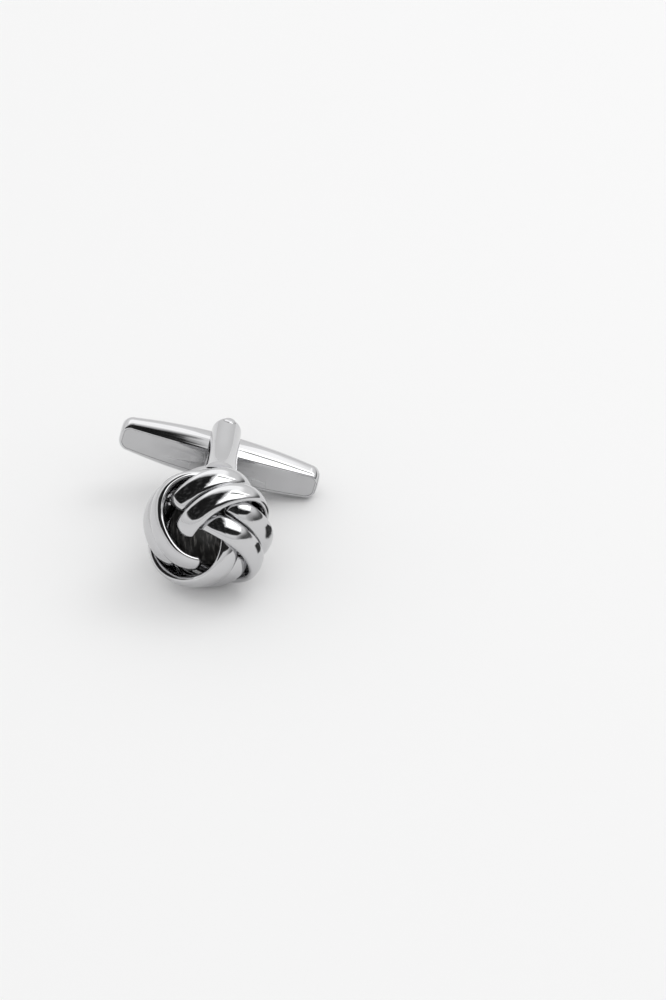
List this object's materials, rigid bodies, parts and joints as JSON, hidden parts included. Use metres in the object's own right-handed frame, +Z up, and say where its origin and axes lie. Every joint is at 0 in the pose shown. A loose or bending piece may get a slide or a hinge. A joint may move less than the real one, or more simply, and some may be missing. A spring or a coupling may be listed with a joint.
{
  "type": "cufflink",
  "caption": "Polished metal cufflink: a domed knot of overlapping double arcs on a two-armed post, with a boat-shaped toggle that swivels on a riveted pin.",
  "frame": {"origin": "on the table, below the middle of the cufflink's whole length, as it lies", "axes": "+Y from the knot to the toggle, +X to the right seen from the knot, the toggle's low end, +Z up"},
  "size_m": [0.02, 0.0222, 0.0126],
  "materials": {
    "polished_metal": "mirror polished, light handling marks",
    "dark_core": "matt, darkened and slightly rough",
    "spring_steel": "satin, as rolled"
  },
  "bodies": {
    "head": {"arc_1_inner": "polished_metal", "arc_1_outer": "polished_metal", "arc_2_inner": "polished_metal", "arc_2_outer": "polished_metal", "arc_3_inner": "polished_metal", "arc_3_outer": "polished_metal", "arc_4_inner": "polished_metal", "arc_4_outer": "polished_metal", "knot_core": "dark_core", "back_cup": "polished_metal", "fork": "polished_metal", "pivot_pin": "polished_metal", "detent_cam": "spring_steel"},
    "toggle": {"toggle_shell": "polished_metal", "toggle_plate": "polished_metal", "leaf_spring": "spring_steel"}
  },
  "joints": [
    {"name": "toggle_flip", "type": "hinge", "parent": "head", "child": "toggle", "pos_m": [0, 0.00913, 0.00396], "axis": [0.2614, 0.1392, 0.9552], "range_deg": [-90, 90], "deforming": ["leaf_spring"]}
  ]
}
